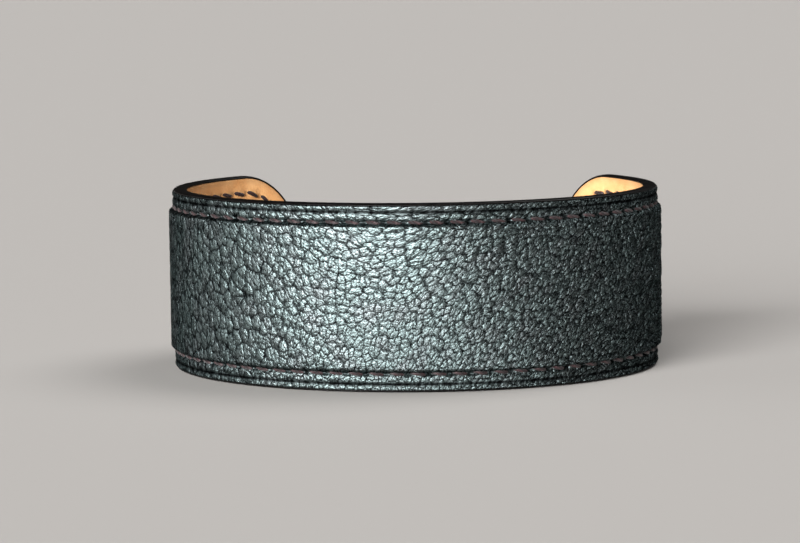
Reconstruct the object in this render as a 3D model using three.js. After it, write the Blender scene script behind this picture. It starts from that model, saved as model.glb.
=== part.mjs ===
// A leather cuff bracelet: an oval band, open at the back, that stands on its lower edge.
// A grained leather cover faces out and a plain leather lining faces the wrist. Both are cut to one
// outline, and a bead of edge paint runs all the way round their cut edges. The margin of the cover
// is thin, with a creased line and a sewn channel, and inside the channel the cover rises to a pad.
//
// Millimetres. +Z is up, +X to the right, and the opening for the wrist faces +Y. The origin lies
// under the middle of the cuff's box, on the surface that the cuff stands on.

import * as THREE from "three";

// The oval, measured on the outside of the raised pad
const OVAL_WIDTH = 66;
const OVAL_DEPTH = 57;
const OPENING = 39.5; // between the tips of the two ends

// The band, laid flat
const BAND_HEIGHT = 24;
const CORNER_RADIUS = 9.5;

// Thicknesses
const MARGIN_THICKNESS = 0.8; // the cover outside its pad
const PAD_RISE = 0.6; // the pad above the margin
const LINING_THICKNESS = 1;
const PAINT_THICKNESS = 0.4;
const JOINT_GAP = 0.1; // left between pieces that meet

// The cover's margin, from its cut edge inwards
const EDGE_ROUND = 0.2; // how far the cover's outer corner is rounded off
const CREASE_INSET = 0.75; // cut edge to the middle of the creased line
const CREASE_WIDTH = 0.5;
const CREASE_DEPTH = 0.18;
const CREASE_TO_SEAM = 1.25; // middle of the creased line to the row of stitches
const SEAM_WIDTH = 0.7;
const SEAM_DEPTH = 0.2;
const SEAM_TO_PAD = 0.55; // row of stitches to the foot of the pad
const PAD_SLOPE = 2; // width over which the pad rises

// How finely curves are divided
const STATION_LENGTH = 2.6; // along the band
const CORNER_STEPS = 5;
const END_STEPS = 2;
const SMALLEST_RADIUS = 0.4; // of an inner ring's corner
const SHORTEST_END = 1; // straight stretch left at each tip

const halfWidth = OVAL_WIDTH / 2;
const halfDepth = OVAL_DEPTH / 2;
const halfHeight = BAND_HEIGHT / 2;
const cornerRadius = Math.min(CORNER_RADIUS, (BAND_HEIGHT - SHORTEST_END) / 2);

// Distances out from the oval, which lies on the pad
const marginFace = -PAD_RISE;
const coverBack = marginFace - MARGIN_THICKNESS;
const liningFront = coverBack - JOINT_GAP;
const liningBack = liningFront - LINING_THICKNESS;

// Distances in from the band's outline, which lies on the crest of the edge paint
const cutEdge = PAINT_THICKNESS + JOINT_GAP;

// The right half of the oval, from the middle of the front to the tip of the right end
const FRONT_ANGLE = -Math.PI / 2;
const tipAngle = Math.acos(OPENING / 2 / halfWidth);
const halfOval = new THREE.EllipseCurve(0, 0, halfWidth, halfDepth, FRONT_ANGLE, tipAngle);
halfOval.arcLengthDivisions = 1000;
const halfBand = halfOval.getLength();
const stations = Math.ceil((2 * (halfBand - cornerRadius)) / STATION_LENGTH);

// Bends the flat band round the oval: a point is given by how far it is along the band from the
// middle of the front, how far up from mid-height, and how far out from the oval.
function bend(along, up, out) {
  const share = halfOval.getUtoTmapping(Math.min(Math.abs(along) / halfBand, 1));
  const angle = FRONT_ANGLE + share * (tipAngle - FRONT_ANGLE);
  const outward = new THREE.Vector2(Math.cos(angle) / halfWidth, Math.sin(angle) / halfDepth);
  const point = halfOval.getPoint(share).addScaledVector(outward.normalize(), out);
  const side = along < 0 ? -1 : 1;
  return new THREE.Vector3(side * point.x, point.y, up + halfHeight);
}

// The points of the band's outline moved in by a distance, anticlockwise as seen from outside.
// Every ring has as many points, and the rings' points lie opposite each other.
function flatRing(inset) {
  const radius = Math.max(cornerRadius - inset, SMALLEST_RADIUS);
  const straight = halfBand - inset - radius;
  const rise = halfHeight - inset - radius;
  const points = [];
  const addCorner = (along, up, fromAngle) => {
    for (let step = 0; step < CORNER_STEPS; step++) {
      const angle = fromAngle + ((step / CORNER_STEPS) * Math.PI) / 2;
      points.push([along + radius * Math.cos(angle), up + radius * Math.sin(angle)]);
    }
  };
  const addLine = (from, to, steps) => {
    for (let step = 0; step < steps; step++) {
      const share = step / steps;
      points.push([
        THREE.MathUtils.lerp(from[0], to[0], share),
        THREE.MathUtils.lerp(from[1], to[1], share),
      ]);
    }
  };
  const end = straight + radius;
  const edge = rise + radius;
  addLine([-straight, -edge], [straight, -edge], stations);
  addCorner(straight, -rise, -Math.PI / 2);
  addLine([end, -rise], [end, rise], END_STEPS);
  addCorner(straight, rise, 0);
  addLine([straight, edge], [-straight, edge], stations);
  addCorner(-straight, rise, Math.PI / 2);
  addLine([-end, rise], [-end, -rise], END_STEPS);
  addCorner(-straight, -rise, Math.PI);
  return points;
}

// A closed skin through rings, each given by its inset and its distance out from the oval.
// The rings run from the face that looks out, over the edge, to the face that looks in.
// A loop joins its last ring to its first. Otherwise both ends are filled in.
function skin(rings, isLoop) {
  const positions = rings.flatMap(({ inset, out }) =>
    flatRing(inset).flatMap(([along, up]) => bend(along, up, out).toArray()),
  );
  const count = positions.length / 3 / rings.length;
  const index = [];
  const joined = isLoop ? rings.length : rings.length - 1;
  for (let row = 0; row < joined; row++) {
    const here = row * count;
    const next = ((row + 1) % rings.length) * count;
    for (let i = 0; i < count; i++) {
      const j = (i + 1) % count;
      index.push(here + i, next + i, next + j, here + i, next + j, here + j);
    }
  }
  if (!isLoop) {
    fill(index, 0, count, false);
    fill(index, (rings.length - 1) * count, count, true);
  }
  const geometry = new THREE.BufferGeometry();
  geometry.setAttribute("position", new THREE.Float32BufferAttribute(positions, 3));
  geometry.setIndex(index);
  geometry.computeVertexNormals();
  return geometry;
}

// Fills a ring with upright strips, each from a point of its lower half to the one above it.
function fill(index, first, count, facesIn) {
  const middle = END_STEPS / 2; // of the steps of each end
  const at = (i) => first + ((i + count) % count);
  const start = -CORNER_STEPS - middle; // the middle of the left end
  const across = stations + 2 * CORNER_STEPS + END_STEPS;
  for (let step = 0; step < across; step++) {
    const lower = [at(start + step), at(start + step + 1)];
    const upper = [at(start - step), at(start - step - 1)];
    const faces = [];
    if (step < across - 1) faces.push([lower[0], lower[1], upper[1]]);
    if (step > 0) faces.push([lower[0], step < across - 1 ? upper[1] : lower[1], upper[0]]);
    for (const [a, b, c] of faces) index.push(a, ...(facesIn ? [c, b] : [b, c]));
  }
}

function piece(name, geometry, material) {
  const mesh = new THREE.Mesh(geometry, new THREE.MeshStandardMaterial(material));
  mesh.name = name;
  return mesh;
}

// The cover: its grained face with the crease, the sewn channel and the pad, then its flat back
function cover() {
  const crease = cutEdge + CREASE_INSET;
  const seam = crease + CREASE_TO_SEAM;
  const pad = seam + SEAM_TO_PAD;
  const slope = [
    { share: 0, rise: 0 },
    { share: 0.3, rise: 0.22 },
    { share: 0.65, rise: 0.76 },
    { share: 1, rise: 1 },
  ];
  const face = [
    { inset: cutEdge, out: marginFace - EDGE_ROUND },
    { inset: cutEdge + EDGE_ROUND, out: marginFace },
    { inset: crease - CREASE_WIDTH / 2, out: marginFace },
    { inset: crease, out: marginFace - CREASE_DEPTH },
    { inset: crease + CREASE_WIDTH / 2, out: marginFace },
    { inset: seam - SEAM_WIDTH / 2, out: marginFace },
    { inset: seam, out: marginFace - SEAM_DEPTH },
    ...slope.map(({ share, rise }) => ({
      inset: pad + share * PAD_SLOPE,
      out: marginFace + rise * PAD_RISE,
    })),
  ];
  return skin([...face.reverse(), { inset: cutEdge, out: coverBack }], false);
}

// The lining: an even wall with its edge square
function lining() {
  return skin(
    [
      { inset: cutEdge, out: liningFront },
      { inset: cutEdge, out: liningBack },
    ],
    false,
  );
}

// The edge paint: a domed bead over both cut edges, with a flat crest that the cuff stands on
function edgePaint() {
  const middle = (marginFace - EDGE_ROUND + liningBack) / 2;
  const reach = (marginFace - EDGE_ROUND - liningBack) / 2;
  const dome = [
    { depth: 1, across: 1 },
    { depth: 0.5, across: 0.92 },
    { depth: 0.15, across: 0.7 },
    { depth: 0, across: 0.36 },
  ];
  const outerHalf = dome.map(({ depth, across }) => ({
    inset: depth * PAINT_THICKNESS,
    out: middle + across * reach,
  }));
  const innerHalf = outerHalf.map(({ inset, out }) => ({ inset, out: 2 * middle - out }));
  return skin([...outerHalf, ...innerHalf.reverse()], true);
}

const cuff = new THREE.Group();
cuff.add(
  piece("leather_cover", cover(), { color: 0x4f5c5e, roughness: 0.42, metalness: 0.6 }),
  piece("leather_lining", lining(), { color: 0xd9a56c, roughness: 0.75, metalness: 0 }),
  piece("edge_paint", edgePaint(), { color: 0x14100f, roughness: 0.35, metalness: 0 }),
);

// The cuff's box is centred over the origin, front to back.
const box = new THREE.Box3().setFromObject(cuff, true);
cuff.position.y = -(box.min.y + box.max.y) / 2;

export default cuff;
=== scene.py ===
"""A leather cuff bracelet: its looks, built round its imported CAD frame.

The cuff is a flat band, a rectangle with rounded corners, bent round an oval. Each surface is laid out
on the flat band first, by how far along, how far up and how far out its points lie, and is then bent.
Rings run parallel to the band's outline, and a ring's inset is how far inside the outline it lies.
Lengths are in metres, angles in radians, +Z is up, and the gap between the ends faces +Y.
"""

import logging
import math
from dataclasses import dataclass, field
from enum import Enum
from functools import cached_property

import bpy
import numpy as np
from mathutils import Matrix, Vector


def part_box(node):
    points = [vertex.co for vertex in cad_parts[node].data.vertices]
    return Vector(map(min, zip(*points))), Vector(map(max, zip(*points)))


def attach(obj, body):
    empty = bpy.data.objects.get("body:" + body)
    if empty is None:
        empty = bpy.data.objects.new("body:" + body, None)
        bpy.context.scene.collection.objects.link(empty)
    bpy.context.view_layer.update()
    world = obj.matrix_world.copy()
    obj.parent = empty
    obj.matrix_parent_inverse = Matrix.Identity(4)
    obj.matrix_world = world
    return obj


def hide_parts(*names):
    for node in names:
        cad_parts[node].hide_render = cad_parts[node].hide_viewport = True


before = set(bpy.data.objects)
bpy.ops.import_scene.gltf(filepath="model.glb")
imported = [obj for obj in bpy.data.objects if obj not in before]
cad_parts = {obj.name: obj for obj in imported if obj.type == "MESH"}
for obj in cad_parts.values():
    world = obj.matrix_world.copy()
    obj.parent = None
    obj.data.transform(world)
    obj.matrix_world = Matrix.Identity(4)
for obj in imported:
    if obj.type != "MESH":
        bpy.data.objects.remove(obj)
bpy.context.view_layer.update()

log = logging.getLogger("cuff")

MM = 0.001
BODY = "root"
GRAIN_MAP = "grain"  # UV map of the leather's grain, one pebble to a unit
THREAD_MAP = "thread"  # UV map of the thread: millimetres along it, and turns round it
HOLE_SHADE_MASK = "hole_shade"  # attribute: 1 where shade is painted dark in a stitch hole or along the creased line, 0 away from it
EDGE_MASK = "near_edge"  # attribute: 1 at the cut edge, 0 away from it
DEPTH_MASK = "grain_depth"  # attribute: how deep the grain is, 1 for its usual depth


class Facing(Enum):
    """Which side of the band a face or a row of stitches lies on."""

    OUT = 1
    IN = -1


class Ease(Enum):
    """How a value is carried from one end of a range to the other."""

    LINEAR = "LINEAR"
    SMOOTH = "SMOOTHSTEP"


# The band and its rings


def bell(distance: np.ndarray, width: float) -> np.ndarray:
    """Falls from 1 at no distance as exp(-(distance / width)^2)."""
    return np.exp(-((distance / width) ** 2))


def edge_fall(inset: np.ndarray, cut: float, radius: float) -> np.ndarray:
    """How far a face falls towards its cut edge, which is rounded off as a quarter circle.

    Args:
        inset: distance in from the band's outline.
        cut: the cut edge's inset.
        radius: the quarter circle's radius.

    Returns:
        radius (1 - (1 - s^2)^0.5), where s runs from 0 on the flat face to 1 at the cut edge.
    """
    short = np.clip(1 - (inset - cut) / radius, 0, 1)
    return radius * (1 - np.sqrt(1 - short**2))


def ring_insets(stops: tuple, spacings: tuple, radius: float, arc_steps: int) -> np.ndarray:
    """Insets of a face's rings, from its middle out and down its rounded edge.

    Args:
        stops: insets to pass through, from the innermost ring to where the edge's rounding begins.
        spacings: about how far apart the rings lie between each stop and the next.
        radius: of the rounded edge, whose rings lie radius sin(angle) beyond the last stop.
        arc_steps: how many they are.

    Returns:
        The insets.
    """
    parts = [stops[:1]]
    for start, end, spacing in zip(stops, stops[1:], spacings):
        parts.append(np.linspace(start, end, round((start - end) / spacing) + 1)[1:])
    arc = np.linspace(0, math.pi / 2, arc_steps + 1)[1:]
    return np.concatenate([*parts, stops[-1] - radius * np.sin(arc)])


@dataclass(frozen=True)
class Oval:
    """The oval that the band is bent round, measured on the crown of the raised pad."""

    width: float
    depth: float
    opening: float  # between the tips of the two ends
    front: float  # where the middle of the front lies along Y
    samples: int = 4001

    @cached_property
    def arc(self) -> tuple[np.ndarray, np.ndarray]:
        """Angles from the middle of the front to the right tip, and the arc length up to each.

        The arc length is the running sum of hypot(a sin t, b cos t) dt.

        Returns:
            The angles and the arc lengths.
        """
        tip = math.acos(self.opening / self.width)
        angle = np.linspace(-math.pi / 2, tip, self.samples)
        speed = np.hypot(self.width / 2 * np.sin(angle), self.depth / 2 * np.cos(angle))
        steps = (speed[1:] + speed[:-1]) / 2 * np.diff(angle)
        return angle, np.concatenate(([0.0], np.cumsum(steps)))

    @property
    def half_length(self) -> float:
        """Arc length from the middle of the front to a tip."""
        return float(self.arc[1][-1])

    def bend(self, along: np.ndarray, up: np.ndarray, out: np.ndarray) -> np.ndarray:
        """Bends places on the flat band round the oval.

        The arc length gives an angle t, the point is (a cos t, b sin t), and out moves it along the
        unit normal, which is (cos t / a, sin t / b) made one long. The left half is the mirror image.

        Args:
            along: distance along the band from the middle of the front.
            up: height above the surface that the cuff stands on.
            out: distance out from the oval.

        Returns:
            The points, with X, Y and Z on the last axis.
        """
        angles, lengths = self.arc
        angle = np.interp(np.abs(along), lengths, angles)
        across, deep = self.width / 2, self.depth / 2
        normal = np.stack([np.cos(angle) / across, np.sin(angle) / deep])
        normal = normal / np.hypot(*normal)
        x = (across * np.cos(angle) + out * normal[0]) * np.where(along < 0, -1.0, 1.0)
        y = deep * np.sin(angle) + out * normal[1] + self.front + deep
        return np.stack(np.broadcast_arrays(x, y, up), axis=-1)


@dataclass(frozen=True)
class Stations:
    """Where the points of a ring lie, round the band's outline and anticlockwise from outside."""

    across: np.ndarray  # share of the way along to the corners' centres, -1 to 1
    rise: np.ndarray  # share of the way up to them, -1 to 1
    angle: np.ndarray  # direction from there to the ring

    @property
    def count(self) -> int:
        """Points in a ring."""
        return len(self.angle)


@dataclass(frozen=True)
class Band:
    """The flat band: a rectangle with rounded corners, and rings parallel to its outline."""

    oval: Oval
    height: float
    corner_radius: float
    inner_roundness: float = 0.3  # an inner ring's corner radius, as a share of its half height

    def stations(self, along: float, corner_steps: int, end_steps: int) -> Stations:
        """Lays out the stations of a ring.

        Args:
            along: spacing along the two long sides.
            corner_steps: steps round each corner.
            end_steps: steps up each end, an even number.

        Returns:
            The stations, in the order bottom, right end, top and left end.
        """
        straight = 2 * (self.oval.half_length - self.corner_radius)
        long_steps = math.ceil(straight / along)
        quarter = math.pi / 2
        sides = [
            (long_steps, (-1, 1), (-1, -1), (-1, -1)),
            (corner_steps, (1, 1), (-1, -1), (-1, 0)),
            (end_steps, (1, 1), (-1, 1), (0, 0)),
            (corner_steps, (1, 1), (1, 1), (0, 1)),
            (long_steps, (1, -1), (1, 1), (1, 1)),
            (corner_steps, (-1, -1), (1, 1), (1, 2)),
            (end_steps, (-1, -1), (1, -1), (2, 2)),
            (corner_steps, (-1, -1), (-1, -1), (2, 3)),
        ]
        columns = [
            np.concatenate([np.linspace(*side[column], side[0], endpoint=False) for side in sides])
            for column in (1, 2, 3)
        ]
        return Stations(columns[0], columns[1], columns[2] * quarter)

    def rings(self, stations: Stations, inset: np.ndarray) -> tuple[np.ndarray, np.ndarray]:
        """Places of rings on the flat band, measured from its middle.

        A ring at inset d has corners of radius r = max(R - d, k (H / 2 - d)), centred r inside it, and
        its point at a station is the corner's centre, shared along the sides, plus r (cos, sin).

        Args:
            stations: where the points of each ring lie.
            inset: how far inside the outline each ring lies.

        Returns:
            How far along and how far up the points lie, a row to each ring.
        """
        inset = np.asarray(inset)[:, None]
        half_height = self.height / 2
        radius = np.maximum(
            self.corner_radius - inset, self.inner_roundness * (half_height - inset)
        )
        along = (self.oval.half_length - inset - radius) * stations.across
        up = (half_height - inset - radius) * stations.rise
        return along + radius * np.cos(stations.angle), up + radius * np.sin(stations.angle)

    def bend(self, along: np.ndarray, up: np.ndarray, out: np.ndarray) -> np.ndarray:
        """Bends places on the flat band, whose up is measured from mid-height."""
        return self.oval.bend(along, up + self.height / 2, out)


@dataclass(frozen=True)
class Margin:
    """The cover's margin, as distances in from the outline and out from the oval."""

    face: float = -0.5 * MM  # the margin's own face
    back: float = -1.4 * MM  # the cover's back
    cut: float = 0.32 * MM  # the cut edge
    edge_round: float = 0.2 * MM
    crease: float = 1.1 * MM  # middle of the creased line
    crease_width: float = 0.21 * MM
    crease_depth: float = 0.16 * MM
    seam: float = 2.44 * MM  # the row of stitches
    seam_width: float = 0.26 * MM
    seam_depth: float = 0.24 * MM
    pad: float = 2.5 * MM  # foot of the raised pad
    pad_slope: float = 0.55 * MM
    pad_fullness: float = 2.0  # 1 is a straight slope, and more rises sooner

    def in_crease(self, inset: np.ndarray) -> np.ndarray:
        """How near places lie to the creased line: 1 on it, and close to 0 away from it."""
        return bell(inset - self.crease, self.crease_width)

    def profile(self, inset: np.ndarray) -> np.ndarray:
        """How far out the cover's face lies, before its grain.

        The pad rises as 1 - (1 - s)^n over its slope. The crease and the sewn channel are bell-shaped
        dips, and the cut edge is rounded off as a quarter circle.

        Args:
            inset: distance in from the outline.

        Returns:
            Distance out from the oval.
        """
        share = np.clip((inset - self.pad) / self.pad_slope, 0, 1)
        out = self.face * (1 - share) ** self.pad_fullness
        out = out - self.crease_depth * self.in_crease(inset)
        out = out - self.seam_depth * bell(inset - self.seam, self.seam_width)
        return out - edge_fall(inset, self.cut, self.edge_round)


# Node trees


class Graph:
    """A node tree that code wires up: each method adds a node and returns its output socket."""

    def __init__(self, tree: bpy.types.NodeTree) -> None:
        """Starts wiring.

        Args:
            tree: the tree to add nodes to.
        """
        self.tree = tree

    def add(self, kind: str, inputs: dict | None = None, **settings: object) -> bpy.types.Node:
        """Adds a node.

        Args:
            kind: the node's type.
            inputs: socket name or number to a value, or to the socket that feeds it.
            settings: the node's own properties.

        Returns:
            The node.
        """
        node = self.tree.nodes.new(kind)
        for name, value in settings.items():
            setattr(node, name, value)
        for name, value in (inputs or {}).items():
            if isinstance(value, bpy.types.NodeSocket):
                self.tree.links.new(value, node.inputs[name])
            else:
                node.inputs[name].default_value = value
        return node

    def math(self, operation: str, *values: object) -> bpy.types.NodeSocket:
        """Works out a number from others."""
        node = self.add("ShaderNodeMath", dict(enumerate(values)), operation=operation)
        return node.outputs[0]

    def vector(self, operation: str, *values: object) -> bpy.types.NodeSocket:
        """Works out a vector from others."""
        node = self.add("ShaderNodeVectorMath", dict(enumerate(values)), operation=operation)
        return node.outputs[0]

    def scaled(self, vector: object, factor: float) -> bpy.types.NodeSocket:
        """Scales a vector by a number."""
        node = self.add("ShaderNodeVectorMath", {0: vector, "Scale": factor}, operation="SCALE")
        return node.outputs[0]

    def span(
        self, value: object, low: float, high: float, to: tuple = (0.0, 1.0), ease: Ease = Ease.LINEAR
    ) -> bpy.types.NodeSocket:
        """Carries a range of a value onto another range, and holds it there.

        Args:
            value: the value.
            low: where the range starts.
            high: where it ends.
            to: what the two ends become.
            ease: how the value runs between them.

        Returns:
            The carried value.
        """
        inputs = {"Value": value, "From Min": low, "From Max": high, "To Min": to[0], "To Max": to[1]}
        return self.add("ShaderNodeMapRange", inputs, interpolation_type=ease.value).outputs[0]

    def blend(self, share: object, low: object, high: object) -> bpy.types.NodeSocket:
        """Mixes two colours."""
        inputs = {0: share, 6: low, 7: high}
        return self.add("ShaderNodeMix", inputs, data_type="RGBA").outputs[2]

    def noise(self, where: object, scale: object, detail: float = 2.0) -> bpy.types.Node:
        """Adds cloudy noise."""
        return self.add("ShaderNodeTexNoise", {"Vector": where, "Scale": scale, "Detail": detail})

    def cells(self, where: object, scale: float, feature: str = "F1") -> bpy.types.Node:
        """Adds a flat pattern of cells."""
        inputs = {"Vector": where, "Scale": scale}
        return self.add("ShaderNodeTexVoronoi", inputs, feature=feature, voronoi_dimensions="2D")

    def dome(self, distance: object, reach: float) -> bpy.types.NodeSocket:
        """Falls from a crown as 1 - (d / r)^2, where d is the distance to the crown."""
        share = self.span(distance, 0.0, reach)
        return self.math("SUBTRACT", 1.0, self.math("MULTIPLY", share, share))


@dataclass(frozen=True)
class GrainSockets:
    """What the grain's nodes put out, each from 0 to 1."""

    relief: bpy.types.NodeSocket  # the pebbles, 0 in the creases and 1 on the crowns
    crease: bpy.types.NodeSocket  # painted shade along the bottoms of the creases between them


@dataclass(frozen=True)
class PebbledGrain:
    """Pebbled leather grain: rounded pebbles parted by creases, gathered into larger swells."""

    wander: float = 0.42  # how far the creases wander, in pebbles
    wander_scale: float = 1.7
    pebble_reach: float = 0.8  # from a pebble's crown to where it would reach the ground
    swell_scale: float = 0.5  # swells to a pebble, each way
    swell_share: float = 0.1  # of the relief
    faint: float = 0.72  # share of its height that a faint pebble keeps
    patch_scale: float = 0.55  # of the patches where pebbles are faint
    patch_range: tuple = (0.36, 0.58)  # of the patches' noise, from faint pebbles to full ones
    line_width: float = 0.12  # of the line of painted shade at the bottom of a crease
    bank_width: float = 0.17  # over which a crease's banks rise
    bank_power: float = 0.6  # 1 is a straight bank, and less is steeper at its foot
    bank_share: float = 0.45  # of the relief

    def lay(self, graph: Graph, where: object) -> GrainSockets:
        """Lays the grain in a node tree, whether it shades a surface or shapes one.

        A pebble is a dome 1 - (d / r)^2, where d is the distance to its crown, with steep banks where
        it falls into a crease.

        Args:
            graph: the tree to lay it in.
            where: the place on the grain, in pebbles.

        Returns:
            The grain's sockets.
        """
        drift = graph.noise(where, self.wander_scale).outputs["Color"]
        drift = graph.scaled(graph.vector("SUBTRACT", drift, (0.5, 0.5, 0.5)), 2 * self.wander)
        bent = graph.vector("ADD", where, drift)
        crown = graph.cells(bent, 1.0).outputs["Distance"]
        swell = graph.cells(bent, self.swell_scale).outputs["Distance"]
        edge = graph.cells(bent, 1.0, "DISTANCE_TO_EDGE").outputs["Distance"]
        patches = graph.noise(where, self.patch_scale, 1.0).outputs[0]
        strength = graph.span(patches, *self.patch_range, (self.faint, 1.0), Ease.SMOOTH)
        dome = graph.math("MULTIPLY", graph.dome(crown, self.pebble_reach), strength)
        bank = graph.span(edge, 0.0, self.bank_width)
        bank = graph.math("MULTIPLY", graph.math("POWER", bank, self.bank_power), strength)
        total = graph.math("MULTIPLY", dome, 1 - self.swell_share - self.bank_share)
        total = graph.math("MULTIPLY_ADD", bank, self.bank_share, total)
        swell_dome = graph.dome(swell, self.pebble_reach)
        total = graph.math("MULTIPLY_ADD", swell_dome, self.swell_share, total)
        line = graph.span(edge, 0.0, self.line_width, (1.0, 0.0), Ease.SMOOTH)
        return GrainSockets(total, graph.math("MULTIPLY", line, strength))

    def heights(self, where: np.ndarray) -> np.ndarray:
        """Reads the grain's height at places on it, from the same nodes that shade it.

        A cloud of points at (u, v, 0) is lifted to (u, v, height) by a Geometry Nodes tree.

        Args:
            where: places on the grain, in pebbles, u and v on the last axis.

        Returns:
            The height at each place.
        """
        flat = np.zeros((*where.shape[:-1], 3), np.float32)
        flat[..., :2] = where
        mesh = bpy.data.meshes.new("grain_probe")
        mesh.vertices.add(flat[..., 0].size)
        mesh.vertices.foreach_set("co", flat.ravel())
        probe = new_object("grain_probe", mesh)

        shape = {"Geometry": "Geometry"}
        tree = new_group("grain_probe", shape, shape, "GeometryNodeTree")
        graph = Graph(tree)
        start = graph.add("NodeGroupInput")
        place = graph.add("GeometryNodeInputPosition").outputs[0]
        height = self.lay(graph, place).relief
        lifted = graph.vector("ADD", place, graph.add("ShaderNodeCombineXYZ", {2: height}).outputs[0])
        inputs = {"Geometry": start.outputs[0], "Position": lifted}
        moved = graph.add("GeometryNodeSetPosition", inputs)
        graph.add("NodeGroupOutput", {0: moved.outputs[0]})
        probe.modifiers.new("grain", "NODES").node_group = tree

        seen = probe.evaluated_get(bpy.context.evaluated_depsgraph_get()).data
        lifted_points = np.empty(len(seen.vertices) * 3, np.float32)
        seen.vertices.foreach_get("co", lifted_points)
        bpy.data.objects.remove(probe)
        bpy.data.meshes.remove(mesh)
        bpy.data.node_groups.remove(tree)
        return lifted_points[2::3].reshape(where.shape[:-1]).astype(float)


@dataclass(frozen=True)
class GrainZone:
    """How the grain runs at one place along the band."""

    share: float  # of the way from the middle of the front to a tip, negative on the left
    width: float  # of a pebble
    height: float  # of a pebble
    lean: float  # how far the pebbles lean to the right, for each unit up
    depth: float  # of the grain, 1 for its usual depth


@dataclass(frozen=True)
class GrainFlow:
    """How the grain runs over the band: large and upright on the left, fine and slanting on the right."""

    zones: tuple[GrainZone, ...] = (
        GrainZone(share=-1.0, width=0.95 * MM, height=1.2 * MM, lean=0.0, depth=1.0),
        GrainZone(share=-0.62, width=1.1 * MM, height=1.9 * MM, lean=0.0, depth=1.1),
        GrainZone(share=-0.38, width=1.12 * MM, height=1.9 * MM, lean=-0.12, depth=1.25),
        GrainZone(share=-0.2, width=1.1 * MM, height=1.35 * MM, lean=-0.12, depth=0.95),
        GrainZone(share=-0.05, width=1.05 * MM, height=0.92 * MM, lean=0.15, depth=0.78),
        GrainZone(share=0.07, width=0.88 * MM, height=0.96 * MM, lean=0.6, depth=1.0),
        GrainZone(share=0.22, width=0.68 * MM, height=0.92 * MM, lean=0.75, depth=1.6),
        GrainZone(share=0.45, width=0.64 * MM, height=0.82 * MM, lean=0.65, depth=3.0),
        GrainZone(share=0.62, width=0.75 * MM, height=0.95 * MM, lean=0.4, depth=3.0),
        GrainZone(share=1.0, width=0.95 * MM, height=1.1 * MM, lean=0.2, depth=1.1),
    )
    samples: int = 601
    softening: float = 0.07  # of the table, on either side of a zone

    @cached_property
    def line(self) -> np.ndarray:
        """Places along the band, as shares of the way from the middle of the front to a tip."""
        return np.linspace(-1.0, 1.0, self.samples)

    def column(self, name: str) -> np.ndarray:
        """A column of the table on the line, with its corners softened by a running mean.

        Args:
            name: the column.

        Returns:
            Its value at each place on the line.
        """
        reach = int(self.softening * self.samples)
        window = np.hanning(reach + 2)[1:-1]
        shares = [zone.share for zone in self.zones]
        values = [getattr(zone, name) for zone in self.zones]
        padded = np.pad(np.interp(self.line, shares, values), reach, mode="edge")
        return np.convolve(padded, window / window.sum(), mode="same")[reach:-reach]

    def places(self, band: Band, along: np.ndarray, up: np.ndarray) -> np.ndarray:
        """Places on the grain, in pebbles, of places on the flat band.

        u is the integral of 1 / width along the band, less lean times up / width, and v is up / height.

        Args:
            band: the band.
            along: how far along the places lie.
            up: how far up from mid-height.

        Returns:
            u and v on the last axis.
        """
        line, width = self.line, self.column("width")
        run = np.concatenate(([0.0], np.cumsum((1 / width[1:] + 1 / width[:-1]) / 2)))
        run = run * band.oval.half_length * (line[1] - line[0])
        share = along / band.oval.half_length
        u = np.interp(share, line, run)
        u = u - np.interp(share, line, self.column("lean")) * up / np.interp(share, line, width)
        return np.stack([u, up / np.interp(share, line, self.column("height"))], axis=-1)

    def depths(self, band: Band, along: np.ndarray) -> np.ndarray:
        """How deep the grain is at places along the band."""
        return np.interp(along / band.oval.half_length, self.line, self.column("depth"))


# Meshes


def new_object(name: str, data: bpy.types.ID) -> bpy.types.Object:
    """Makes an object of some data, and links it to the scene."""
    made = bpy.data.objects.new(name, data)
    bpy.context.scene.collection.objects.link(made)
    return made


def mesh_object(name: str, points: np.ndarray, faces: list[np.ndarray]) -> bpy.types.Object:
    """Makes a smooth mesh object at the origin.

    Args:
        name: the piece's name.
        points: its vertices, X, Y and Z on the last axis.
        faces: arrays of faces, each with one row to a face.

    Returns:
        The object, linked to the scene.
    """
    points = points.reshape(-1, 3)
    sizes = np.concatenate([np.full(len(block), block.shape[1]) for block in faces])
    corners = np.concatenate([block.ravel() for block in faces]).astype(np.int32)
    mesh = bpy.data.meshes.new(name)
    mesh.vertices.add(len(points))
    mesh.vertices.foreach_set("co", points.astype(np.float32).ravel())
    mesh.loops.add(len(corners))
    mesh.loops.foreach_set("vertex_index", corners)
    mesh.polygons.add(len(sizes))
    starts = np.concatenate(([0], np.cumsum(sizes)[:-1])).astype(np.int32)
    mesh.polygons.foreach_set("loop_start", starts)
    mesh.polygons.foreach_set("use_smooth", np.ones(len(sizes), bool))
    mesh.update(calc_edges=True)
    mesh.validate()
    return new_object(name, mesh)


def give_uv(piece: bpy.types.Object, name: str, places: np.ndarray) -> None:
    """Gives a piece a UV map from a place for each vertex.

    Args:
        piece: the piece.
        name: the map's name.
        places: u and v on the last axis, in the order of the vertices.
    """
    mesh = piece.data
    corners = np.empty(len(mesh.loops), np.int32)
    mesh.loops.foreach_get("vertex_index", corners)
    chart = mesh.uv_layers.new(name=name)
    chart.uv.foreach_set("vector", places.reshape(-1, 2)[corners].astype(np.float32).ravel())


def give_mask(piece: bpy.types.Object, name: str, values: np.ndarray) -> None:
    """Gives a piece an attribute with a value for each vertex.

    Args:
        piece: the piece.
        name: the attribute's name.
        values: the values, in the order of the vertices.
    """
    mask = piece.data.attributes.new(name, "FLOAT", "POINT")
    mask.data.foreach_set("value", values.astype(np.float32).ravel())


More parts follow.
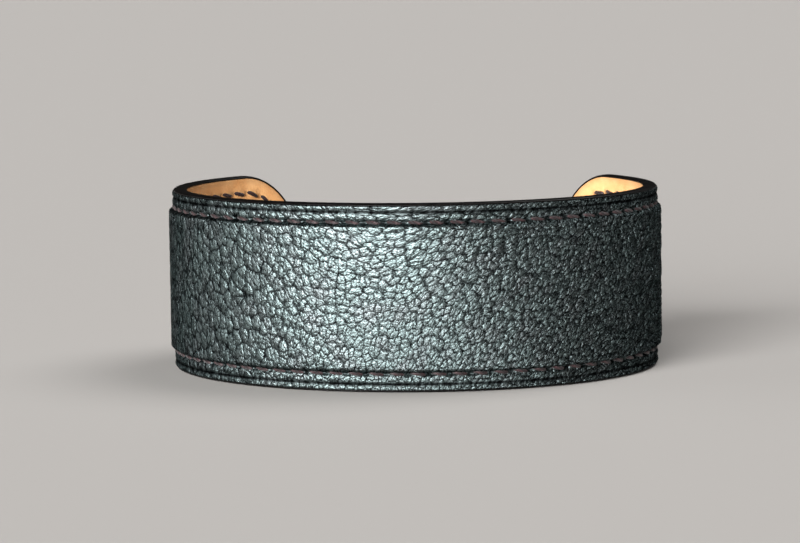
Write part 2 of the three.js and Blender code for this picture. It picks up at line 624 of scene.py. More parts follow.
def ring_faces(rings: int, count: int, is_loop: bool) -> np.ndarray:
    """Quads between rings that run from the face that looks out to the face that looks in.

    Args:
        rings: how many rings there are.
        count: points in each ring.
        is_loop: whether the last ring joins the first.

    Returns:
        A row of four vertices to each quad.
    """
    here = np.arange(rings if is_loop else rings - 1)[:, None] * count
    there = (here + count) % (rings * count)
    i = np.arange(count)[None, :]
    j = (i + 1) % count
    return np.stack([here + i, there + i, there + j, here + j], axis=-1).reshape(-1, 4)


def with_back(rows: np.ndarray) -> np.ndarray:
    """Repeats the last ring's row, for the ring that goes round the back."""
    return np.concatenate([rows, rows[-1:]])


@dataclass(frozen=True)
class Skin:
    """A closed skin of rings over the band: a face, a rim and a back."""

    band: Band
    along: float  # spacing of the stations on the long sides
    corner_steps: int = 30
    end_steps: int = 12

    @cached_property
    def stations(self) -> Stations:
        """The stations of each ring."""
        return self.band.stations(self.along, self.corner_steps, self.end_steps)

    def filling(self, first: int) -> list[np.ndarray]:
        """Fills a ring with upright strips, each from its lower half to the point above.

        Args:
            first: the ring's first vertex.

        Returns:
            Quads, and the triangles at the two tips, anticlockwise as seen from outside.
        """
        count = self.stations.count
        start = -self.corner_steps - self.end_steps // 2
        step = np.arange(count // 2)
        low, next_low = (start + step) % count, (start + step + 1) % count
        high, next_high = (start - step) % count, (start - step - 1) % count
        quads = first + np.stack([low, next_low, next_high, high], axis=-1)
        tips = np.stack([quads[0, [0, 1, 2]], quads[-1, [0, 1, 3]]])
        return [quads[1:-1], tips]

    def build(self, name: str, places: tuple, back: float, facing: Facing) -> bpy.types.Object:
        """Bends rings of places round the oval and makes a closed mesh of them.

        Args:
            name: the piece's name.
            places: how far along, how far up from mid-height and how far out the face's places
                lie, each with a row to each ring, from the face's middle to its cut edge.
            back: how far out the back lies, straight behind the face's last ring.
            facing: the side that the face lies on.

        Returns:
            The piece.
        """
        along, up, out = (with_back(rows) for rows in places)
        out[-1] = back
        rings, count = along.shape
        faces = [ring_faces(rings, count, False), *self.filling(0)]
        faces += [block[:, ::-1] for block in self.filling((rings - 1) * count)]
        if facing is Facing.IN:
            faces = [block[:, ::-1] for block in faces]
        return mesh_object(name, self.band.bend(along, up, out), faces)


# Stitching


@dataclass(frozen=True)
class SeamLine:
    """The row of stitch holes, on the ring that follows the band's outline at the seam."""

    band: Band
    inset: float
    pitch: float = 2.71 * MM
    along: float = 0.25 * MM  # spacing of the points that the row is measured by
    corner_steps: int = 40
    end_steps: int = 16

    @cached_property
    def track(self) -> tuple[np.ndarray, np.ndarray, np.ndarray, np.ndarray]:
        """The ring's distance, places along and up, and direction outwards, closed on itself."""
        stations = self.band.stations(self.along, self.corner_steps, self.end_steps)
        along, up = (side[0] for side in self.band.rings(stations, np.array([self.inset])))
        along, up = np.append(along, along[0]), np.append(up, up[0])
        steps = np.hypot(np.diff(along), np.diff(up))
        distance = np.concatenate(([0.0], np.cumsum(steps)))
        angle = np.append(stations.angle, 3 * math.pi / 2)
        return distance, along, up, angle

    @property
    def count(self) -> int:
        """Stitches in the row."""
        return round(self.track[0][-1] / self.pitch)

    def at(self, place: np.ndarray) -> tuple[np.ndarray, np.ndarray, np.ndarray]:
        """Places on the row.

        Args:
            place: how many stitches along the row.

        Returns:
            How far along, how far up, and the direction outwards from the row, in the flat band.
        """
        distance, along, up, angle = self.track
        where = np.mod(place / self.count, 1.0) * distance[-1]
        return tuple(np.interp(where, distance, column) for column in (along, up, angle))

    def nearness(self, along: np.ndarray, up: np.ndarray, reach: float) -> np.ndarray:
        """How near places on the flat band are to their nearest hole, as exp(-(distance / reach)^2).

        Args:
            along: how far along the places lie.
            up: how far up they lie.
            reach: how far the nearness carries.

        Returns:
            1 in a hole, and close to 0 away from it.
        """
        hole_along, hole_up, _ = self.at(np.arange(self.count))
        near = np.zeros(along.shape)
        for x, y in zip(hole_along, hole_up):
            gap = ((along - x) ** 2 + (up - y) ** 2) / reach**2
            near = np.maximum(near, np.exp(-gap))
        return near


def unit(vectors: np.ndarray) -> np.ndarray:
    """Makes vectors one long."""
    return vectors / np.linalg.norm(vectors, axis=-1, keepdims=True)


@dataclass(frozen=True)
class Stitches:
    """One side of the saddle stitching: short slanting strands that dive into their holes."""

    seam: SeamLine
    facing: Facing
    face: float  # how far out the leather lies at the seam
    length: float = 0.86  # of a strand, as a share of the pitch
    radius: float = 0.27 * MM
    thinnest: float = 0.02  # square of the least share of the radius that the ends keep
    flatness: float = 0.82
    slant: float = 0.24 * MM  # each end's distance from the row
    crown: float = 0.04 * MM  # how far the strand's middle line lies above the leather
    sink: float = 0.34 * MM  # how far its ends lie below
    dive: int = 3  # more keeps the strand level for longer
    taper: int = 6  # more keeps it thick for longer
    steps: int = 7
    sides: int = 6

    def build(self, name: str) -> bpy.types.Object:
        """Makes the strands as one mesh.

        For w from 0 to 1, a strand's middle line runs along the row and across it by
        slant (2 w - 1), and lies at face + crown - (crown + sink) |2 w - 1|^dive. Its radius is
        radius (1 - |2 w - 1|^taper)^0.5.

        Args:
            name: the piece's name.

        Returns:
            The piece.
        """
        side = self.facing.value
        w = np.linspace(0, 1, self.steps + 1)
        reach = np.abs(2 * w - 1)
        place = np.arange(self.seam.count)[:, None] + 0.5 + (w - 0.5) * self.length
        along, up, angle = self.seam.at(place)
        shift = self.slant * (2 * w - 1) * side
        along, up = along + shift * np.cos(angle), up + shift * np.sin(angle)
        out = self.face + side * (self.crown - (self.crown + self.sink) * reach**self.dive)
        out = np.broadcast_to(out, along.shape)
        middle = self.seam.band.bend(along, up, out)
        normal = unit(self.seam.band.bend(along, up, out + side * MM) - middle)
        heading = unit(np.gradient(middle, axis=1))
        across = unit(np.cross(heading, normal))
        lift = np.cross(across, heading)
        turn = np.linspace(0, 2 * math.pi, self.sides, endpoint=False)
        radius = self.radius * np.sqrt(np.clip(1 - reach**self.taper, self.thinnest, 1))
        ring = (
            across[:, :, None, :] * np.cos(turn)[:, None]
            + lift[:, :, None, :] * np.sin(turn)[:, None] * self.flatness
        )
        points = middle[:, :, None, :] + ring * radius[:, None, None]
        return self.joined(name, points)

    def joined(self, name: str, points: np.ndarray) -> bpy.types.Object:
        """Joins the strands' rings into one mesh, with a UV map along the thread.

        Args:
            name: the piece's name.
            points: the rings' points, by strand, step, side and axis.

        Returns:
            The piece.
        """
        strands, rows, sides, _ = points.shape
        base = (np.arange(strands) * rows * sides)[:, None, None]
        row = np.arange(rows - 1)[None, :, None]
        i = np.arange(sides)[None, None, :]
        j = (i + 1) % sides
        here, there = base + row * sides, base + (row + 1) * sides
        walls = np.stack([here + i, here + j, there + j, there + i], axis=-1).reshape(-1, 4)
        start = (base[:, 0] + np.arange(sides)[::-1]).reshape(-1, sides)
        end = (base[:, 0] + (rows - 1) * sides + np.arange(sides)).reshape(-1, sides)
        piece = mesh_object(name, points, [walls, start, end])

        pitch_mm = self.seam.pitch / MM
        corner_row = np.array([0, 0, 1, 1])
        corner_side = np.array([0, 1, 1, 0])
        u = (row[..., None] + corner_row) / (rows - 1) * self.length * pitch_mm
        v = (i[..., None] + corner_side) / sides
        u, v = np.broadcast_arrays(u + np.zeros(base.shape)[..., None], v)
        wall_places = np.stack([u, v], axis=-1).reshape(-1, 2)
        cap_places = np.zeros((strands * 2 * sides, 2))
        chart = piece.data.uv_layers.new(name=THREAD_MAP)
        places = np.concatenate([wall_places, cap_places]).astype(np.float32)
        chart.uv.foreach_set("vector", places.ravel())
        return piece


# Finishes


def colour(red: float, green: float, blue: float) -> tuple[float, float, float, float]:
    """A colour given as it shows on a screen, 0 to 255, in the linear values that shaders use."""
    levels = (level / 255 for level in (red, green, blue))
    linear = (x / 12.92 if x <= 0.04045 else ((x + 0.055) / 1.055) ** 2.4 for x in levels)
    return (*linear, 1.0)


def new_group(
    name: str, inputs: dict[str, str], outputs: dict[str, str], kind: str = "ShaderNodeTree"
) -> bpy.types.NodeTree:
    """Makes an empty node group.

    Args:
        name: the group's name.
        inputs: socket names to their types, such as Float.
        outputs: the same for what it puts out.
        kind: the kind of tree.

    Returns:
        The group.
    """
    tree = bpy.data.node_groups.new(name, kind)
    for sockets, way in ((inputs, "INPUT"), (outputs, "OUTPUT")):
        for socket, kind in sockets.items():
            tree.interface.new_socket(socket, in_out=way, socket_type=f"NodeSocket{kind}")
    return tree


@dataclass(frozen=True)
class GrainGroup:
    """The grain as a node group: its relief and creases, with fine wrinkles and flecks on it."""

    grain: PebbledGrain = field(default_factory=PebbledGrain)
    wrinkle_scale: float = 4.6  # to a pebble
    furrow_width: float = 0.4  # of the noise, on either side of a furrow
    furrow_share: float = 0.15  # of the wrinkles' height, and the beads have the rest
    bead_scale: float = 3.3
    bead_wander: float = 0.8  # in beads
    bead_reach: float = 0.8  # from a bead's crown to where it would reach the ground
    fleck_scale: float = 6.0

    @cached_property
    def tree(self) -> bpy.types.NodeTree:
        """The group, built once."""
        tree = new_group(
            "pebbled_grain",
            {"Vector": "Vector"},
            {"Relief": "Float", "Crease": "Float", "Wrinkle": "Float", "Fleck": "Float"},
        )
        graph = Graph(tree)
        where = graph.add("NodeGroupInput").outputs["Vector"]
        pebbles = self.grain.lay(graph, where)
        cloud = graph.noise(where, self.wrinkle_scale, 3.0).outputs[0]
        furrow = graph.math("ABSOLUTE", graph.math("MULTIPLY_ADD", cloud, 2.0, -1.0))
        furrow = graph.span(furrow, 0.0, self.furrow_width)
        drift = graph.noise(where, 2 * self.bead_scale).outputs["Color"]
        bent = graph.vector("ADD", where, graph.scaled(drift, self.bead_wander / self.bead_scale))
        bead = graph.cells(bent, self.bead_scale).outputs["Distance"]
        beads = graph.math("MULTIPLY", graph.dome(bead, self.bead_reach), 1 - self.furrow_share)
        wrinkle = graph.math("MULTIPLY_ADD", furrow, self.furrow_share, beads)
        flecks = graph.cells(where, self.fleck_scale).outputs["Color"]
        fleck = graph.add("ShaderNodeSeparateColor", {0: flecks}).outputs[0]
        outputs = {"Relief": pebbles.relief, "Crease": pebbles.crease}
        graph.add("NodeGroupOutput", {**outputs, "Wrinkle": wrinkle, "Fleck": fleck})
        return tree


class UnevenTone:
    """Soft patches, as leather, paint and thread all have, from a node group used by each."""

    def __init__(self) -> None:
        """Builds the group, whose patches are noise with its contrast raised about its middle."""
        inputs = {"Vector": "Vector", "Scale": "Float", "Contrast": "Float"}
        self.tree = new_group("uneven_tone", inputs, {"Patch": "Float"})
        graph = Graph(self.tree)
        start = graph.add("NodeGroupInput").outputs
        cloud = graph.noise(start["Vector"], start["Scale"], 4.0).outputs[0]
        middle = graph.math("SUBTRACT", cloud, 0.5)
        patch = graph.math("MULTIPLY_ADD", middle, start["Contrast"], 0.5)
        graph.add("NodeGroupOutput", {"Patch": graph.math("MAXIMUM", patch, 0.0)})


class Finish:
    """A material under way: its tree and its Principled shader."""

    def __init__(self, name: str, constants: dict[str, object] | None = None) -> None:
        """Starts a material.

        Args:
            name: the material's name.
            constants: values that are the same all over, by the names of the shader's sockets.
        """
        self.material = bpy.data.materials.new(name)
        self.material.use_nodes = True
        self.graph = Graph(self.material.node_tree)
        self.shader = next(
            node for node in self.material.node_tree.nodes if node.type == "BSDF_PRINCIPLED"
        )
        for socket, value in (constants or {}).items():
            self.shader.inputs[socket].default_value = value

    def feed(self, socket: str, source: bpy.types.NodeSocket) -> None:
        """Feeds one of the shader's sockets."""
        self.graph.tree.links.new(source, self.shader.inputs[socket])

    def group(self, tree: bpy.types.NodeTree, **inputs: object) -> bpy.types.Node:
        """Places a node group, with its inputs by their names in small letters."""
        sockets = {name.title(): value for name, value in inputs.items()}
        return self.graph.add("ShaderNodeGroup", sockets, node_tree=tree)

    def patches(
        self, tone: UnevenTone, where: object, scale: float, contrast: float
    ) -> bpy.types.NodeSocket:
        """Places the soft patches, by their scale and contrast."""
        return self.group(tone.tree, vector=where, scale=scale, contrast=contrast).outputs[0]

    def chart(self, name: str) -> bpy.types.NodeSocket:
        """Reads one of the piece's UV maps."""
        return self.graph.add("ShaderNodeUVMap", uv_map=name).outputs[0]

    def place(self) -> bpy.types.NodeSocket:
        """Reads the place on the piece, in metres."""
        return self.graph.add("ShaderNodeTexCoord").outputs["Object"]

    def mask(self, name: str) -> bpy.types.NodeSocket:
        """Reads one of the piece's attributes."""
        return self.graph.add("ShaderNodeAttribute", attribute_name=name).outputs["Fac"]

    def bump(self, height: object, distance: float) -> None:
        """Raises the surface by a height times a distance, in its shading alone."""
        node = self.graph.add("ShaderNodeBump", {"Height": height, "Distance": distance})
        self.feed("Normal", node.outputs[0])


@dataclass(frozen=True)
class GrainedLeather:
    """Dark teal leather under a pearly metallic coat, with light and shade painted on its pebbles and
    creases.
    """

    crown: tuple = colour(108, 121, 121)
    # painted shade in the valleys between the pebbles
    valley_shade: tuple = colour(33, 38, 39)
    # painted shade in the creases, the creased line and the stitch holes
    crease: tuple = colour(10, 11, 12)
    warm: tuple = colour(107, 108, 111)
    edge_tint: tuple = colour(66, 60, 62)
    relief: float = 0.1 * MM  # of the pebbles
    wrinkle: float = 0.047 * MM
    fleck: float = 0.017 * MM
    patch_scale: float = 0.3  # of the warm patches, to a pebble
    patch_contrast: float = 2.0
    warm_range: tuple = (0.4, 0.85)  # of the patches, from none of the warm tint to the most
    warm_share: float = 0.5  # the most of it
    fine_lit_weight: float = 0.6  # what a wrinkle or fleck counts for in the painted light, beside a pebble
    lit_range: tuple = (0.5, 1.7)  # of the height, from full painted shade to full painted light
    line_range: tuple = (0.76, 1.0)  # darkness of the painted shade in the creases, from the grain's usual depth to twice that
    fleck_range: tuple = (0.3, 1.0)  # of the flecks, from the glossiest to the dullest
    gloss_range: tuple = (0.25, 0.42)  # their roughness
    crease_rough: float = 0.2  # added in the creases

    def make(self, grain: GrainGroup, tone: UnevenTone) -> bpy.types.Material:
        """Makes the material.

        Args:
            grain: the grain's node group.
            tone: the node group of soft patches.

        Returns:
            The material.
        """
        finish = Finish("grained_leather", {"Metallic": 1.0, "Specular Tint": self.edge_tint})
        graph = finish.graph
        where = finish.chart(GRAIN_MAP)
        pebbles = finish.group(grain.tree, vector=where).outputs
        relief, wrinkle, fleck = (pebbles[name] for name in ("Relief", "Wrinkle", "Fleck"))
        depth = finish.mask(DEPTH_MASK)
        patch = finish.patches(tone, where, self.patch_scale, self.patch_contrast)
        warm = graph.span(patch, *self.warm_range, (0.0, self.warm_share))
        # Painted light and shade: the pebbles' crowns take the crown colour and the valleys between them
        # a darker colour, darker still where the grain is deep.
        high = graph.math("MULTIPLY_ADD", wrinkle, self.fine_lit_weight, relief)
        high = graph.math("MULTIPLY_ADD", fleck, self.fine_lit_weight, high)
        lit_share = graph.math("POWER", graph.span(high, *self.lit_range), depth)
        shade = graph.blend(lit_share, self.valley_shade, graph.blend(warm, self.crown, self.warm))
        # Painted shade: the creases between the pebbles, darker where the grain is deep, and the creased
        # line and stitch holes are coloured dark.
        deep = graph.span(depth, 1.0, 2.0, self.line_range)
        dark = graph.math("MULTIPLY", pebbles["Crease"], deep)
        dark = graph.math("MAXIMUM", dark, finish.mask(HOLE_SHADE_MASK))
        finish.feed("Base Color", graph.blend(dark, shade, self.crease))
        rough = graph.span(fleck, *self.fleck_range, self.gloss_range)
        finish.feed("Roughness", graph.math("MULTIPLY_ADD", dark, self.crease_rough, rough))
        height = graph.math("MULTIPLY", graph.math("MULTIPLY", relief, depth), self.relief / MM)
        height = graph.math("MULTIPLY_ADD", wrinkle, self.wrinkle / MM, height)
        height = graph.math("MULTIPLY_ADD", fleck, self.fleck / MM, height)
        finish.bump(height, MM)
        return finish.material


@dataclass(frozen=True)
class LiningLeather:
    """Smooth natural tan leather, burnished darker towards its edge, with shade painted darker round its
    stitch holes.
    """

    light: tuple = colour(250, 198, 138)
    deep: tuple = colour(234, 172, 110)
    # the burnished edge's colour, and painted shade round the stitch holes
    burnt_and_hole_shade: tuple = colour(110, 66, 38)
    relief: float = 0.03 * MM
    patch_scale: float = 0.5  # to a millimetre
    patch_contrast: float = 2.0
    edge_burn: float = 0.4  # how burnt the cut edge is
    hole_start: float = 0.15  # how near a hole its ring of painted shade begins
    pore_scale: float = 3.2  # to a millimetre
    fibre_scale: float = 9.0  # to a millimetre
    fibre_share: float = 0.8  # of the pores' depth

    def make(self, tone: UnevenTone) -> bpy.types.Material:
        """Makes the material.

        Args:
            tone: the node group of soft patches.

        Returns:
            The material.
        """
        finish = Finish("lining_leather", {"Roughness": 0.55, "Specular IOR Level": 0.35})
        graph = finish.graph
        where = finish.chart(GRAIN_MAP)
        patch = finish.patches(tone, where, self.patch_scale, self.patch_contrast)
        shade = graph.blend(patch, self.deep, self.light)
        at_edge = graph.span(finish.mask(EDGE_MASK), 0.0, 1.0, (0.0, self.edge_burn))
        shade = graph.blend(at_edge, shade, self.burnt_and_hole_shade)
        # Painted shade: darker round each stitch hole, in the burnt colour of the edge.
        at_hole = graph.span(finish.mask(HOLE_SHADE_MASK), self.hole_start, 1.0)
        finish.feed("Base Color", graph.blend(at_hole, shade, self.burnt_and_hole_shade))
        pores = graph.cells(where, self.pore_scale).outputs["Distance"]
        fibres = graph.noise(where, self.fibre_scale, 3.0).outputs[0]
        finish.bump(graph.math("MULTIPLY_ADD", fibres, self.fibre_share, pores), self.relief)
        return finish.material


@dataclass(frozen=True)
class EdgePaint:
    """Black edge paint, half glossy and slightly uneven from the brush."""

    black: tuple = colour(4, 3, 3)
    brown: tuple = colour(12, 9, 8)
    unevenness: float = 0.05 * MM
    patch_scale: float = 900.0  # to a metre
    patch_contrast: float = 1.6
    patch_range: tuple = (0.2, 0.8)  # from the glossiest patches to the dullest
    gloss_range: tuple = (0.28, 0.5)  # their roughness

    def make(self, tone: UnevenTone) -> bpy.types.Material:
        """Makes the material.

        Args:
            tone: the node group of soft patches.

        Returns:
            The material.
        """
        finish = Finish("edge_paint", {"Specular IOR Level": 0.14})
        graph = finish.graph
        patch = finish.patches(tone, finish.place(), self.patch_scale, self.patch_contrast)
        finish.feed("Base Color", graph.blend(patch, self.black, self.brown))
        finish.feed("Roughness", graph.span(patch, *self.patch_range, self.gloss_range))
        finish.bump(patch, self.unevenness)
        return finish.material


@dataclass(frozen=True)
class WaxedThread:
    """Plum thread of twisted plies, with the dull shine of wax, painted lighter on the plies' crowns and
    darker as shade in the grooves between them.
    """

    # light is painted on the plies' crowns, and dark as shade in the grooves between them
    light: tuple = colour(70, 43, 45)
    dark: tuple = colour(22, 11, 13)
    plies: float = 3.0
    lay: float = 1.5  # millimetres to a turn
    lit_from: float = 0.6  # of a ply's wave, whose top is 1, from where the ply is painted fully lit
    fibre_scale: float = 6000.0  # to a metre
    fibre_contrast: float = 2.5
    fibre_share: float = 0.3  # of a ply's height
    relief: float = 0.09 * MM

    def make(self, tone: UnevenTone) -> bpy.types.Material:
        """Makes the material.

        Args:
            tone: the node group of soft patches.

        Returns:
            The material.
        """
        finish = Finish("waxed_thread", {"Roughness": 0.55, "Sheen Weight": 0.1})
        graph = finish.graph
        chart = graph.add("ShaderNodeSeparateXYZ", {0: finish.chart(THREAD_MAP)})
        turn = graph.math("DIVIDE", chart.outputs[0], self.lay)
        turn = graph.math("MULTIPLY_ADD", chart.outputs[1], self.plies, turn)
        wave = graph.math("SINE", graph.math("MULTIPLY", turn, 2 * math.pi))
        ply = graph.span(wave, -1.0, self.lit_from)
        fibre = finish.patches(tone, finish.place(), self.fibre_scale, self.fibre_contrast)
        # Painted light and shade: each ply's crown is coloured lighter and the grooves between the plies
        # darker.
        shade = graph.blend(graph.math("MULTIPLY", ply, fibre), self.dark, self.light)
        finish.feed("Base Color", shade)
        finish.bump(graph.math("MULTIPLY_ADD", fibre, self.fibre_share, ply), self.relief)
        return finish.material


@dataclass(frozen=True)
class PaleFloor:
    """A plain pale surface to stand on."""

    pale: tuple = colour(196, 192, 188)

    def make(self) -> bpy.types.Material:
        """Makes the material."""
        matte = {"Base Color": self.pale, "Roughness": 0.9, "Specular IOR Level": 0.1}
        return Finish("pale_floor", matte).material


# The pieces


@dataclass(frozen=True)
class LeatherCover:
    """The grained leather that faces out: a creased and sewn margin round a raised pad."""

    band: Band
    margin: Margin
    seam: SeamLine
    grain: PebbledGrain
    flow: GrainFlow
    relief: float = 0.11 * MM  # depth of the pebbled grain in the mesh
    along: float = 0.222 * MM
    fine_step: float = 0.165 * MM  # between rings in the margin
    step: float = 0.215 * MM  # between rings on the pad
    middle: float = 0.1 * MM  # half the height of the innermost ring
    corner_steps: int = 46
    end_steps: int = 18
    edge_steps: int = 4
    hole_reach: float = 0.26 * MM
    hole_depth: float = 0.22 * MM
    pull_reach: float = 0.75 * MM
    pull_depth: float = 0.05 * MM
    crease_smooth: float = 0.5  # how much of the grain's depth the creased line takes away
    crease_dark: float = 1.6  # of the painted shade in the creased line: 1 is as dark as the painted shade in a stitch hole, and more is wider
    crease_crown_lift: float = 0.45  # how much less painted shade the line has over the crowns of the grain

    def build(self) -> bpy.types.Object:
        """Makes the cover as one closed mesh.

        Its face lies at profile(inset) + relief depth (height - 1) - holes, where the grain fades at
        the cut edge and in the creased line.

        Returns:
            The piece.
        """
        margin = self.margin
        skin = Skin(self.band, self.along, self.corner_steps, self.end_steps)
        deepest = self.band.height / 2 - self.middle
        stops = deepest, margin.pad + margin.pad_slope, margin.cut + margin.edge_round
        spacings = self.step, self.fine_step
        inset = ring_insets(stops, spacings, margin.edge_round, self.edge_steps)
        along, up = self.band.rings(skin.stations, inset)
        places = self.flow.places(self.band, along, up)
        height = self.grain.heights(places)
        depth = self.flow.depths(self.band, along)
        in_crease = margin.in_crease(inset)[:, None]
        at_edge = np.clip((inset - margin.cut) / margin.edge_round, 0, 1)[:, None]
        share = at_edge * (1 - self.crease_smooth * in_crease)
        hole = self.seam.nearness(along, up, self.hole_reach)
        pull = self.seam.nearness(along, up, self.pull_reach)
        out = margin.profile(inset)[:, None] + self.relief * share * depth * (height - 1)
        out = out - self.hole_depth * hole - self.pull_depth * pull

        piece = skin.build("cover_leather", (along, up, out), margin.back, Facing.OUT)
        give_uv(piece, GRAIN_MAP, with_back(places))
        # Painted shade in the creased line and the stitch holes, kept in the mask that colours them dark.
        line = self.crease_dark * in_crease * (1 - self.crease_crown_lift * height)
        give_mask(piece, HOLE_SHADE_MASK, with_back(np.maximum(hole, np.minimum(line, 1))))
        give_mask(piece, DEPTH_MASK, with_back(depth))
        return piece


@dataclass(frozen=True)
class LeatherLining:
    """The tan leather that faces the wrist, with dimples where the stitches pull it in."""

    band: Band
    seam: SeamLine
    front: float  # how far out its hidden side lies
    face: float  # how far out the side towards the wrist lies
    cut: float = 0.32 * MM
    edge_round: float = 0.18 * MM
    along: float = 0.36 * MM
    step: float = 0.34 * MM  # between rings
    middle: float = 0.2 * MM  # half the height of the innermost ring
    edge_steps: int = 3
    hole_reach: float = 0.34 * MM
    hole_depth: float = 0.2 * MM
    pull_reach: float = 0.9 * MM
    pull_depth: float = 0.1 * MM
    edge_reach: float = 0.7 * MM  # of the burnished edge

    def build(self) -> bpy.types.Object:
        """Makes the lining as one closed mesh, its face at face + edge + holes."""
        skin = Skin(self.band, self.along)
        stops = self.band.height / 2 - self.middle, self.cut + self.edge_round
        inset = ring_insets(stops, (self.step,), self.edge_round, self.edge_steps)
        along, up = self.band.rings(skin.stations, inset)
        hole = self.seam.nearness(along, up, self.hole_reach)
        pull = self.seam.nearness(along, up, self.pull_reach)
        out = self.face + edge_fall(inset, self.cut, self.edge_round)
        out = out[:, None] + self.hole_depth * hole + self.pull_depth * pull
        near_edge = bell(inset - self.cut, self.edge_reach)[:, None]

        piece = skin.build("lining_leather", (along, up, out), self.front, Facing.IN)
        give_uv(piece, GRAIN_MAP, with_back(np.stack([along, up], axis=-1) / MM))
        give_mask(piece, HOLE_SHADE_MASK, with_back(hole))
        give_mask(piece, EDGE_MASK, with_back(np.broadcast_to(near_edge, along.shape)))
        return piece


@dataclass(frozen=True)
class PaintedEdge:
    """The bead of edge paint over both cut edges, all the way round."""

    band: Band
    outer: float  # how far out the bead's outer lip lies
    inner: float  # how far out its inner lip lies
    base: float = 0.3 * MM  # inset of its flat base
    along: float = 0.5 * MM
    section_steps: int = 14
    fullness: float = 2.6  # 2 is a half ellipse, and more is squarer

    def build(self) -> bpy.types.Object:
        """Makes the bead as one closed loop of rings.

        Its section is |x|^n + |y|^n = 1, with x from lip to lip and y from the base to the crest.

        Returns:
            The piece.
        """
        skin = Skin(self.band, self.along)
        turn = np.linspace(0, math.pi, self.section_steps + 1)
        power = 2 / self.fullness
        across = np.sign(np.cos(turn)) * np.abs(np.cos(turn)) ** power
        rise = np.abs(np.sin(turn)) ** power
        middle, reach = (self.outer + self.inner) / 2, (self.outer - self.inner) / 2
        along, up = self.band.rings(skin.stations, self.base * (1 - rise))
        out = np.broadcast_to((middle + reach * across)[:, None], along.shape)
        faces = ring_faces(*along.shape, True)
        return mesh_object("painted_edge", self.band.bend(along, up, out), [faces])


@dataclass(frozen=True)
class CuffBracelet:
    """The whole cuff, with its driving sizes and what it reads from the CAD frame."""

    oval_depth: float = 57 * MM
    opening: float = 39.5 * MM
    corner_radius: float = 9.5 * MM
    lining_front: float = -1.5 * MM
    lining_face: float = -2.5 * MM
    margin: Margin = field(default_factory=Margin)
    grain: PebbledGrain = field(default_factory=PebbledGrain)

    @cached_property
    def band(self) -> Band:
        """The band, as wide and high as its CAD nodes."""
        low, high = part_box("leather_cover")
        edge_low, edge_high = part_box("edge_paint")
        oval = Oval(high.x - low.x, self.oval_depth, self.opening, low.y)
        return Band(oval, edge_high.z - edge_low.z, self.corner_radius)

    def build(self) -> None:
        """Makes, dresses and seats each piece."""
        margin = self.margin
        seam = SeamLine(self.band, margin.seam)
        tone = UnevenTone()
        grain = GrainGroup(self.grain)
        thread = WaxedThread().make(tone)

        cover = LeatherCover(self.band, margin, seam, self.grain, GrainFlow()).build()
        seat(cover, GrainedLeather().make(grain, tone), "grained_leather", "leather_cover")
        lining = LeatherLining(self.band, seam, self.lining_front, self.lining_face).build()
        seat(lining, LiningLeather().make(tone), "lining_leather", "leather_lining")
        paint = PaintedEdge(self.band, margin.face - margin.edge_round, self.lining_face).build()
        seat(paint, EdgePaint().make(tone), "edge_paint", "edge_paint")
        outside = Stitches(seam, Facing.OUT, margin.face - margin.seam_depth)
        seat(outside.build("stitches_outside"), thread, "thread")
        inside = Stitches(seam, Facing.IN, self.lining_face)
        seat(inside.build("stitches_inside"), thread, "thread")


def seat(piece: bpy.types.Object, material: bpy.types.Material, slot: str, *nodes: str) -> None:
    """Dresses a piece and makes it ride on the cuff's one body.

    Args:
        piece: the piece.
        material: its finish.
        slot: the record's material slot; not used.
        nodes: the CAD nodes that it stands for.
    """
    piece.data.materials.append(material)
    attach(piece, BODY)
    if nodes:
        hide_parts(*nodes)
    triangles = sum(len(face.vertices) - 2 for face in piece.data.polygons)
    log.info("%s rides on %s with %d triangles", piece.name, BODY, triangles)


# The studio


def towards(azimuth: float, elevation: float) -> Vector:
    """The way to a place in the sky, (sin a cos e, -cos a cos e, sin e)."""
    level = math.cos(elevation)
    return Vector((math.sin(azimuth) * level, -math.cos(azimuth) * level, math.sin(elevation)))


@dataclass(frozen=True)
class Camera:
    """The camera, as solved from the photograph's outline of the cuff."""

    azimuth: float = math.radians(5.5)  # to the right of the cuff's front
    elevation: float = math.radians(6.38)
    roll: float = math.radians(-0.7)
    distance: float = 434.8 * MM
    lens: float = 145.72  # millimetres, on a sensor 36 wide
    sensor: float = 36.0
    aside: tuple[float, float] = (-2.063 * MM, 0.313 * MM)  # how far it is moved right and up

    def build(self, centre: Vector) -> None:
        """Places the camera.

        Args:
            centre: the middle of the cuff's oval, at mid-height.
        """
        back = towards(self.azimuth, self.elevation)
        right = Vector((math.cos(self.azimuth), math.sin(self.azimuth), 0))
        up = back.cross(right)
        right, up = (
            right * math.cos(self.roll) + up * math.sin(self.roll),
            up * math.cos(self.roll) - right * math.sin(self.roll),
        )
        data = bpy.data.cameras.new("camera")
        data.lens, data.sensor_width = self.lens, self.sensor
        camera = new_object("camera", data)
        place = centre + right * self.aside[0] + up * self.aside[1] + back * self.distance
        turned = Matrix((right, up, back)).transposed().to_4x4()
        camera.matrix_world = Matrix.Translation(place) @ turned
        bpy.context.scene.camera = camera


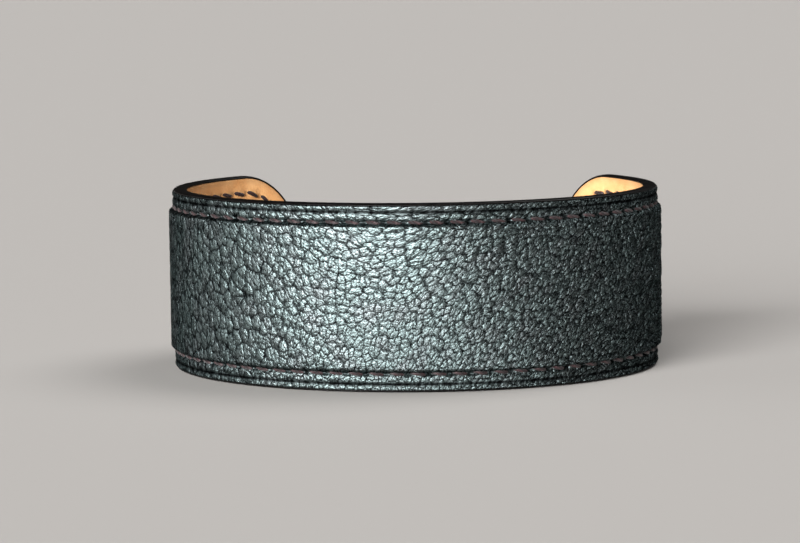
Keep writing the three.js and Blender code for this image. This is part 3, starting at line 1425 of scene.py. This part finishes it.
@dataclass(frozen=True)
class SoftSun:
    """A light from far off, as wide in the sky as a softbox, that lights the floor evenly."""

    name: str
    azimuth: float  # degrees to the right of the cuff's front
    elevation: float  # degrees
    spread: float  # degrees across
    strength: float  # watts to a square metre

    def build(self) -> None:
        """Places the light."""
        back = towards(math.radians(self.azimuth), math.radians(self.elevation))
        data = bpy.data.lights.new(self.name, "SUN")
        data.angle, data.energy = math.radians(self.spread), self.strength
        light = new_object(self.name, data)
        light.location = back
        light.rotation_mode = "QUATERNION"
        light.rotation_quaternion = back.to_track_quat("Z", "Y")


@dataclass(frozen=True)
class Studio:
    """A pale floor, soft lights and the camera."""

    floor_radius: float = 4.0
    floor_sides: int = 96
    world_tint: tuple = colour(205, 200, 198)
    world_strength: float = 0.04
    lights: tuple[SoftSun, ...] = (
        SoftSun("key", azimuth=-19.5, elevation=9, spread=46, strength=9.3),
        SoftSun("left", azimuth=-92, elevation=8, spread=56, strength=0.9),
        SoftSun("top", azimuth=125, elevation=58, spread=40, strength=1.3),
    )

    def build(self, centre: Vector) -> None:
        """Makes the studio.

        Args:
            centre: the middle of the cuff's oval, at mid-height.
        """
        turn = np.linspace(0, 2 * math.pi, self.floor_sides, endpoint=False)
        ring = np.stack([np.cos(turn), np.sin(turn), np.zeros(self.floor_sides)], axis=-1)
        face = np.arange(self.floor_sides)[None, :]
        floor = mesh_object("floor", ring * self.floor_radius, [face])
        floor.data.materials.append(PaleFloor().make())
        for light in self.lights:
            light.build()
        world = bpy.data.worlds.new("studio")
        world.use_nodes = True
        background = world.node_tree.nodes["Background"]
        background.inputs["Color"].default_value = self.world_tint
        background.inputs["Strength"].default_value = self.world_strength
        scene = bpy.context.scene
        scene.world = world
        scene.view_settings.view_transform = "Standard"
        Camera().build(centre)


def main() -> None:
    """Builds the cuff and its studio."""
    logging.basicConfig(level=logging.INFO, format="%(message)s")
    cuff = CuffBracelet()
    oval = cuff.band.oval
    Studio().build(Vector((0, oval.front + oval.depth / 2, cuff.band.height / 2)))
    cuff.build()


if __name__ == "__main__":
    main()
